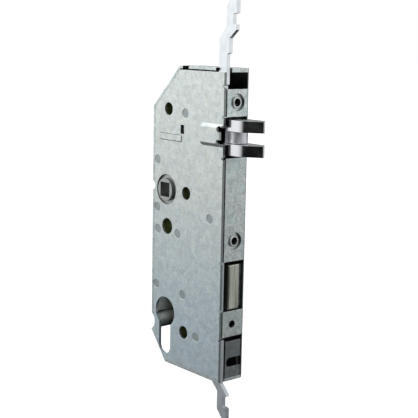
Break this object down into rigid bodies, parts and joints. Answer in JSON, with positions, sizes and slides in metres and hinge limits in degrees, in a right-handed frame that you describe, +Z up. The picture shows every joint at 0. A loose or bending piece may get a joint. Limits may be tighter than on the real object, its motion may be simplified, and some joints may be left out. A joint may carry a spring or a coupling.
{
  "type": "mortise lock",
  "caption": "Narrow steel mortise lock case with a forked roller latch, a geared deadbolt and two hooked drive bars that move opposite ways.",
  "frame": {"origin": "on the spindle follower's axis, halfway through the case's thickness", "axes": "+X towards the door's edge, where the latch comes out; +Y from the cover plate to the far side plate; +Z up"},
  "size_m": [0.0795, 0.019, 0.2228],
  "materials": {
    "galvanised_sheet": "galvanised, faint spangle",
    "turned_steel": "zinc plated, turned",
    "sintered_bush": "sintered, oiled",
    "hardened_steel": "sintered steel",
    "spring_steel": "drawn wire",
    "slide_plastic": "matte",
    "zinc_bar": "bright zinc",
    "polished_nickel": "polished",
    "brushed_nickel": "brushed along its height"
  },
  "bodies": {
    "case": {"case_shell": "galvanised_sheet", "cover_plate": "galvanised_sheet", "rivet_pillars": "turned_steel", "key_axle": "turned_steel", "pinion_axle": "turned_steel", "pinion_spacer": "turned_steel", "bar_guide_posts": "turned_steel", "upper_screw_bush": "turned_steel", "lower_screw_bush": "turned_steel", "near_hub_bush": "sintered_bush", "far_hub_bush": "sintered_bush", "spring_seat": "spring_steel", "follower_spring": "spring_steel", "latch_spring": "spring_steel", "latch_guides": "slide_plastic", "bolt_guide": "galvanised_sheet", "lower_bracket": "galvanised_sheet", "plate_rivets": "turned_steel", "passage_sleeves": "turned_steel"},
    "follower": {"follower": "hardened_steel"},
    "latch": {"latch_fork": "polished_nickel", "latch_tail": "zinc_bar", "latch_guide_rod": "turned_steel", "roller_pin": "turned_steel"},
    "roller": {"latch_roller": "polished_nickel"},
    "deadbolt": {"deadbolt": "brushed_nickel", "bolt_rack": "zinc_bar", "rack_rivets": "turned_steel"},
    "key_wheel": {"bolt_gear": "hardened_steel", "bar_pinion": "hardened_steel"},
    "pinion": {"reversing_pinion": "hardened_steel"},
    "upper_bar": {"upper_bar": "zinc_bar"},
    "lower_bar": {"lower_bar": "zinc_bar"}
  },
  "joints": [
    {"name": "follower_turn", "type": "hinge", "parent": "case", "child": "follower", "pos_m": [0, 0, 0], "axis": [0, -1, 0], "range_deg": [0, 40.8], "deforming": ["follower_spring"]},
    {"name": "latch_slide", "type": "slide", "parent": "case", "child": "latch", "axis": [1, 0, 0], "range_m": [-0.01639, 0], "deforming": ["latch_spring"]},
    {"name": "roller_spin", "type": "hinge", "parent": "latch", "child": "roller", "pos_m": [0.049, 0, 0.033], "axis": [0, 0, 1], "continuous": true},
    {"name": "bolt_slide", "type": "slide", "parent": "case", "child": "deadbolt", "axis": [1, 0, 0], "range_m": [0, 0.02]},
    {"name": "key_wheel_turn", "type": "hinge", "parent": "case", "child": "key_wheel", "pos_m": [0.0157, 0, -0.0571], "axis": [0, 1, 0], "range_deg": [0, 149]},
    {"name": "pinion_turn", "type": "hinge", "parent": "case", "child": "pinion", "pos_m": [0.0376, 0, -0.0112], "axis": [0, 1, 0], "range_deg": [0, 178]},
    {"name": "upper_bar_slide", "type": "slide", "parent": "case", "child": "upper_bar", "axis": [0, 0, 1], "range_m": [0, 0.0156]},
    {"name": "lower_bar_slide", "type": "slide", "parent": "case", "child": "lower_bar", "axis": [0, 0, -1], "range_m": [0, 0.0156]}
  ],
  "couplings": [
    {"joint": "follower_turn", "follows": "latch_slide", "rad_per_m": -42.604},
    {"joint": "key_wheel_turn", "follows": "bolt_slide", "rad_per_m": 125},
    {"joint": "pinion_turn", "follows": "bolt_slide", "rad_per_m": 150},
    {"joint": "upper_bar_slide", "follows": "bolt_slide", "ratio": 0.75},
    {"joint": "lower_bar_slide", "follows": "bolt_slide", "ratio": 0.75}
  ]
}
